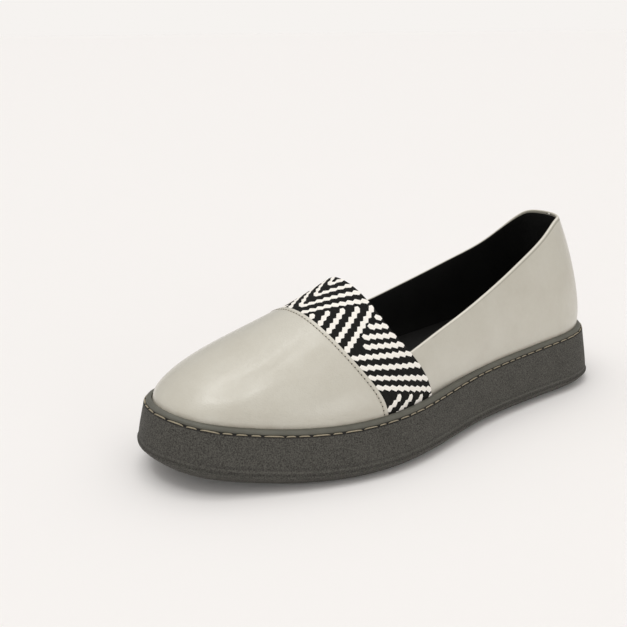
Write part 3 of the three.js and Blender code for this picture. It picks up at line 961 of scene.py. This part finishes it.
# Each fold is a line of places in mm, its half width, and its height, where a minus is a trough.
folds = [
    # along the vamp, where it was pulled over the last
    ([(23.7, -60, 56.5), (23.2, -78, 50), (23.5, -99, 40), (20, -106, 39), (14.5, -112, 40.5)], 4.2, 0.20),
    ([(12.4, -66, 59.8), (16.4, -84, 52.3), (15.3, -96, 48)], 3.6, 0.16),
    ([(18.5, -64, 58), (20, -82, 51), (19.5, -95, 45)], 3.2, -0.22),
    ([(-20, -62, 57), (-22, -82, 49), (-20, -100, 42)], 4.5, 0.18),
    # fine flexing beside the little toe
    ([(26, -88, 44), (36, -80, 35)], 1.8, -0.07),
    ([(28, -84, 44.5), (37, -75, 35)], 1.8, -0.07),
    ([(30, -79, 45), (38, -70, 36)], 1.8, -0.06),
    ([(-33, -82, 40), (-38, -72, 33)], 2.0, -0.08),
    # the quarters sag a little between the tape and the heel stiffener
    ([(33.6, 20, 36), (31, 33, 46), (28.5, 42, 54)], 7.5, 0.30),
    ([(30, 58, 38), (25, 66, 62)], 8.0, -0.25),
    ([(-32, 30, 40), (-28, 44, 54)], 8.0, -0.28),
    # the edge of the stiffener
    ([(28, 74, 36), (22.5, 78, 60), (20.5, 84, 76)], 4.5, 0.20),
    ([(-27, 76, 36), (-22, 80, 60), (-20, 86, 76)], 4.5, 0.20),
]


def distance_to_line(points, line):
    """Each point's distance to a line through several places."""
    nearest = np.full(len(points), np.inf)
    for start, end in zip(line[:-1], line[1:]):
        way = end - start
        share = np.clip((points - start) @ way / (way @ way), 0, 1)
        nearest = np.minimum(nearest, np.linalg.norm(points - start - share[:, None] * way, axis=1))
    return nearest


outer = {i for face in upper.data.polygons if face.material_index == LEATHER for i in face.vertices}
outer_points = np.array(sorted(outer))
outer_places = np.array([upper.data.vertices[i].co[:] for i in outer_points.tolist()])
lift = np.zeros(len(upper.data.vertices))
for line, half_width, fold_height in folds:
    away = distance_to_line(outer_places, np.array(line) * MM) / (half_width * MM)
    lift[outer_points] += fold_height * MM * np.exp(-away * away)

# Folds die out toward the collar, the tape and the welt.
ease_reach = 5 * MM
ease_bottom = 25 * MM
ease_rise = 8 * MM
for index in np.flatnonzero(np.abs(lift) > 0.002 * MM).tolist():
    vertex = upper.data.vertices[index]
    clear = min(collar_tree.find(vertex.co)[2], band_tree.find(vertex.co)[2]) / ease_reach
    ease = min(clear, 1) * min(max(vertex.co.z - ease_bottom, 0) / ease_rise, 1)
    vertex.co += vertex.normal * float(lift[index]) * ease
print("folds moved", int((np.abs(lift) > 0.02 * MM).sum()), "points")

# %% Upper: what the materials read
hold_distance(upper, "from_welt", tree_of([v.co for v in welt.data.vertices]))
hold_distance(upper, "from_seam", band_tree)
hold_distance(upper, "from_collar", collar_tree)
fold_in = upper.data.attributes.new("fold_in", "FLOAT", "POINT")
fold_depth = 1.2 * MM
deeper_at_heel = 1.3 * MM
bevel_reach = 2.2 * MM
heel_begins = 96 * MM
heel_rise = 22 * MM
for vertex in upper.data.vertices:
    nearest, _, near_collar = collar_tree.find(vertex.co)
    heel_centre = Vector((0, min(nearest.y, 85 * MM), nearest.z))
    away = (vertex.co - nearest).dot((nearest - heel_centre).normalized())
    below = vertex.co.z < nearest.z - 0.3 * MM
    outside = near_collar < bevel_reach and away > -0.45 * MM and below
    at_heel = min(max((vertex.co.y - heel_begins) / heel_rise, 0), 1)
    depth_here = fold_depth + deeper_at_heel * at_heel
    fold_in.data[vertex.index].value = 1 * MM if outside else depth_here - near_collar
finish_piece(upper, "upper", "leather")

# %% [markdown]
# ## Tape: the black ground
# The tape has nine ribs along it. A black one is a row of fine warp threads, so the ground is a
# flat grid with four rows of faces to a rib: every fourth line is pushed down as a valley.
# Rounding makes the ribs full, and the strip gets a thickness before it is laid.

# %% Ribbed ground
ribs = 9
rib = tape_width / ribs
valley_depth = 0.26 * MM
length = outer_reach + inner_reach
bpy.ops.object.select_all(action="DESELECT")
bpy.ops.mesh.primitive_grid_add(x_subdivisions=120, y_subdivisions=4 * ribs, size=1, location=(0, 0, 0))
ground = bpy.context.object
ground.name = "weave_ground"
open_edit(ground, "VERT")
bpy.ops.mesh.select_all(action="SELECT")
bpy.ops.transform.resize(value=(length, tape_width, 1), center_override=(0, 0, 0))
bpy.ops.transform.translate(value=((outer_reach - inner_reach) / 2, tape_width / 2, 0))
bpy.ops.mesh.select_all(action="DESELECT")
pick(ground, "verts", lambda v: round(v.co.y / rib * 4) % 4 == 0)
bpy.ops.transform.translate(value=(0, 0, -valley_depth))
close_edit()
subdivide(ground, 1)
apply_modifier(ground, "SOLIDIFY", thickness=0.5 * MM, offset=-1)
lay_piece(ground)
finish_piece(ground, "instep_band", "weave", black_yarn)

# %% [markdown]
# ## Tape: the white figure
# White weft passes over one rib at a time. Each pass shows as a short lozenge, wide over the
# rib's middle and narrow in the valleys, and from rib to rib the lozenges step sideways, so they
# join into slanting stripes with toothed edges. One lozenge is modelled flat, and the chart says
# where the copies go. The stripes lean one way near the ridge and then turn three times down
# to the sole, and the inner side mirrors the outer one.

# %% One white float
bpy.ops.object.select_all(action="DESELECT")
bpy.ops.mesh.primitive_grid_add(x_subdivisions=6, y_subdivisions=4, size=2, location=(0, 0, 0))
float_master = bpy.context.object
open_edit(float_master, "VERT")
float_rows = [
    # place across the rib, half length in mm, height in mm
    (-1.0, 0.84, -0.15),
    (-0.5, 1.38, -0.02),
    (0.0, 1.95, 0.04),
    (0.5, 1.38, -0.02),
    (1.0, 0.84, -0.15),
]
for place, half, height in float_rows:
    bpy.ops.mesh.select_all(action="DESELECT")
    pick(float_master, "verts", lambda v: abs(v.co.y - place) < 0.01)
    bpy.ops.transform.resize(value=(half * MM, 1, 1), center_override=(0, place, 0))
    bpy.ops.transform.translate(value=(0, 0, (height + 0.12) * MM))
mesh = bmesh.from_edit_mesh(float_master.data)
for vertex in mesh.verts:
    half = min(float_rows, key=lambda one: abs(one[0] - vertex.co.y))[1] * MM
    if abs(vertex.co.x) > 0.95 * half:
        vertex.co.z -= 0.13 * MM
bmesh.update_edit_mesh(float_master.data)
bpy.ops.mesh.select_all(action="SELECT")
bpy.ops.transform.resize(value=(1, rib / 2, 1), center_override=(0, 0, 0))
bpy.ops.mesh.extrude_region_move(TRANSFORM_OT_translate={"value": (0, 0, -0.3 * MM)})
bpy.ops.mesh.select_all(action="SELECT")
bpy.ops.mesh.normals_make_consistent(inside=False)
close_edit()
print("one float has", len(float_master.data.polygons), "faces")

# %% The chart, and the laid figure
# Each stripe: its place at the front edge in mm from the ridge, its shift per mm across, and
# the ribs that it crosses, from the first to the last of the nine.
stripes = [
    # beside the ridge
    (-14.9, 0.66, 7, 8), (-8.4, 0.66, 4, 8), (-1.9, 0.66, 1, 8), (4.7, 0.65, 0, 8),
    # first turn, from the front edge
    (12.1, -0.41, 0, 0), (18.8, -0.41, 0, 2), (25.4, -0.41, 0, 4), (32.1, -0.41, 0, 6), (38.7, -0.41, 0, 8),
    # second turn, from the rear edge
    (19.8, 0.48, 8, 8), (24.9, 0.47, 6, 8), (30.8, 0.45, 4, 8), (36.8, 0.43, 3, 8), (42.9, 0.40, 0, 8),
    (49.0, 0.43, 0, 8), (55.2, 0.47, 0, 8), (61.4, 0.46, 0, 8),
    # third turn, at the sole
    (75.5, -0.60, 0, 2), (82.0, -0.60, 1, 4), (88.5, -0.60, 4, 6), (95.0, -0.60, 8, 8),
]
chance = random.Random(7)
spots = []
for front_place, shift, first_rib, last_rib in stripes:
    for k in range(first_rib, last_rib + 1):
        d = (k + 0.5) * rib / MM
        spots.append((front_place + shift * d, d, shift * 0.88))
for s, d, lean in list(spots):
    if s < inner_reach / MM:
        spots.append((-s, d, -lean))

floats = []
for s, d, lean in spots:
    one = bpy.data.objects.new("float", float_master.data.copy())
    bpy.context.collection.objects.link(one)
    longer = 1 + chance.uniform(-0.05, 0.05)
    raised = chance.uniform(-0.03, 0.03) * MM
    nudge = chance.uniform(-0.12, 0.12)
    one.data.transform(Matrix((
        (longer, lean, 0, (s + nudge) * MM),
        (0, 1, 0, d * MM),
        (0, 0, 1, raised),
        (0, 0, 0, 1),
    )))
    floats.append(one)
bpy.data.objects.remove(float_master)
work_on(floats[0])
for one in floats:
    one.select_set(True)
bpy.ops.object.join()
figure = floats[0]
figure.name = "weave_figure"
lay_piece(figure)
finish_piece(figure, None, "weave", white_yarn)
print(len(spots), "floats")

# %% [markdown]
# ## Stitches
# Thread dives into the leather or the rubber at both ends of a stitch and is pulled tight
# between. One stitch is a short cylinder with a few loops cut in, thinner and lower toward its
# ends. Copies of it are scaled and turned along each seam.

# %% One stitch, and seams made of copies
bpy.ops.object.select_all(action="DESELECT")
bpy.ops.mesh.primitive_cylinder_add(vertices=8, radius=0.5, depth=1, rotation=(0, math.radians(90), 0))
stitch_master = bpy.context.object
bpy.ops.object.transform_apply(location=False, rotation=True, scale=False)
open_edit(stitch_master, "VERT")
stitch_loops = [
    # place along the stitch, thickness, drop
    (-0.5, 0.45, -0.55),
    (-0.42, 0.80, -0.18),
    (-0.25, 1.00, 0.0),
    (0.25, 1.00, 0.0),
    (0.42, 0.80, -0.18),
    (0.5, 0.45, -0.55),
]
for at, thick, drop in stitch_loops[1:-1]:
    bpy.ops.mesh.select_all(action="SELECT")
    bpy.ops.mesh.bisect(plane_co=(at, 0, 0), plane_no=(1, 0, 0))
for at, thick, drop in stitch_loops:
    bpy.ops.mesh.select_all(action="DESELECT")
    pick(stitch_master, "verts", lambda v: abs(v.co.x - at) < 0.01)
    bpy.ops.transform.resize(value=(1, thick, thick), center_override=(at, 0, 0))
    bpy.ops.transform.translate(value=(0, 0, drop))
close_edit()
print("one stitch has", len(stitch_master.data.polygons), "faces")


def sew(name, stitches, finish):
    """Joins copies of the stitch. Each is (middle, direction, up, length, width, height)."""
    copies = []
    for where, direction, upward, long, wide, high in stitches:
        one = bpy.data.objects.new(name, stitch_master.data.copy())
        bpy.context.collection.objects.link(one)
        x = Vector(direction).normalized()
        y = Vector(upward).cross(x).normalized()
        z = x.cross(y)
        turn = Matrix((x * long, y * wide, z * high)).transposed().to_4x4()
        one.data.transform(Matrix.Translation(Vector(where)) @ turn)
        layer = one.data.uv_layers[0]
        for corner in layer.data:
            around, lengthwise = corner.uv
            corner.uv = (lengthwise * long * 2, around * wide * 3)
        copies.append(one)
    work_on(copies[0])
    for one in copies:
        one.select_set(True)
    bpy.ops.object.join()
    copies[0].name = name
    finish_piece(copies[0], None, None, finish)
    print(name, len(stitches), "stitches")
    return copies[0]


def stations(line, spans):
    """Places for stitches along a line: for each (start, end), the middle and the direction."""
    reach = reach_of(line)

    def at(distance):
        return np.array([np.interp(distance, reach, line[:, c]) for c in range(3)])

    places = []
    for start, end in spans:
        chord = (at(start) + at(end)) / 2
        # The thread is pulled a third of the way from the curve to its chord.
        places.append((at((start + end) / 2) * 0.67 + chord * 0.33, at(end) - at(start)))
    return places


# %% Welt stitches
loops = sharp_loops("welt", sharp_turn)


def span_of(loop):
    return np.ptp(loop[:, 1])


widest = max(span_of(loop) for loop in loops)
lowest = min((loop for loop in loops if span_of(loop) > widest - 1 * MM), key=lambda loop: loop[:, 2].mean())
groove = np.concatenate([lowest, lowest[:1]])
outward = np.gradient(groove, axis=0)
outward = np.stack([outward[:, 1], -outward[:, 0], np.zeros(len(groove))], -1)
outward /= np.linalg.norm(outward, axis=1)[:, None]
centre = groove.mean(0)
if ((groove - centre) * outward).sum() < 0:
    outward = -outward
thread_out = 0.42 * MM
thread_up = 0.22 * MM
thread_path = groove + outward * thread_out + np.array([0, 0, thread_up])
reach = reach_of(thread_path)
total = reach[-1]
print("groove", round(total / MM), "mm round")
groove_tree = tree_of(dense(thread_path))
for piece in (outsole, welt):
    hold_distance(piece, "from_groove", groove_tree)

spans = []
at = 0
while at < total - 5 * MM:
    at_toe = np.interp(at, reach, thread_path[:, 1]) < -60 * MM
    long = chance.choice((4.0, 4.6, 7.6, 8.2, 8.6) if at_toe else (3.2, 4.0, 4.8, 5.6, 6.4)) * MM
    spans.append((at, at + long))
    at += long + chance.uniform(1.2, 1.9) * MM
threads = []
for where, direction in stations(thread_path, spans):
    fullness = 1.0 if where[1] < -55 * MM else 0.85
    lean = Vector((chance.uniform(-0.03, 0.03), chance.uniform(-0.03, 0.03), chance.uniform(-0.03, 0.03)))
    direction = Vector(direction)
    threads.append((where, direction + lean * direction.length, (0, 0, 1), direction.length + 0.3 * MM,
                    0.74 * fullness * MM, 0.58 * fullness * MM))
sew("welt_stitches", threads, tan_thread)

# %% The mould's parting line
sole_loops = sharp_loops("outsole", math.radians(12))
sole_span = max(span_of(loop) for loop in sole_loops)
ridge_loops = [loop for loop in sole_loops if span_of(loop) > sole_span - 0.3 * MM]
lowest_ridge = min(ridge_loops, key=lambda loop: loop[:, 2].mean())
parting_above_ridge = 2.5 * MM
parting_line = lowest_ridge + np.array([0, 0, parting_above_ridge])
parting_tree = tree_of(dense(np.concatenate([parting_line, parting_line[:1]])))
hold_distance(outsole, "from_parting", parting_tree)
print("parting line", round(parting_line[:, 2].min() / MM, 1), "mm above the floor at its lowest")

# %% Stitches along the tape's front edge
skin = surface_of(upper)


def on_upper(points):
    """The nearest places on the upper, with the outward direction there."""
    found = [skin.find_nearest(Vector(p)) for p in points]
    return np.array([f[0][:] for f in found]), [f[1] for f in found]


seam_s = np.arange(-inner_reach + 2 * MM, outer_reach - 1 * MM, 0.5 * MM)
seam_path, _ = on_upper(on_tape(seam_s, np.full(len(seam_s), -2.3 * MM)))
pitch = 2.2 * MM
count = int(reach_of(seam_path)[-1] / pitch)
spans = [(i * pitch, i * pitch + 1.55 * MM) for i in range(count)]
holes = [(i * pitch + 1.6 * MM, i * pitch + 2.15 * MM) for i in range(count)]
# The dark copies between the stitches are painted shade in the needle holes.
made, dark = [], []
for group, spans_of, rise, wide, high, extra in (
    (made, spans, 0.03, 0.62, 0.40, 0.1),
    (dark, holes, 0.04, 0.62, 0.25, 0.1),
):
    for where, direction in stations(seam_path, spans_of):
        place, normals = on_upper([where])
        up_here = normals[0]
        length_here = Vector(direction).length + extra * MM
        group.append((Vector(place[0]) + up_here * rise * MM, direction, up_here, length_here,
                      wide * MM, high * MM))
sew("vamp_stitches", made, seam_thread)
sew("vamp_hole_shade", dark, hole_shade_finish)

# %% Bar tack at the heel
tack_y, tack_z = 113.4 * MM, 92.4 * MM
tack_places, tack_normals = on_upper([(x * MM, tack_y, tack_z) for x in (-1.5, 0.0, 1.5)])
across = tack_places[2] - tack_places[0]
sew("heel_tack", [(tack_places[1], across, tack_normals[1], 2.2 * MM, 0.6 * MM, 0.45 * MM)], white_yarn)
# The dark copies at both ends are painted shade in the tack's needle holes.
tack_holes = [(tack_places[i], across, tack_normals[i], 0.9 * MM, 0.8 * MM, 0.3 * MM) for i in (0, 2)]
sew("heel_tack_hole_shade", tack_holes, hole_shade_finish)
bpy.data.objects.remove(stitch_master)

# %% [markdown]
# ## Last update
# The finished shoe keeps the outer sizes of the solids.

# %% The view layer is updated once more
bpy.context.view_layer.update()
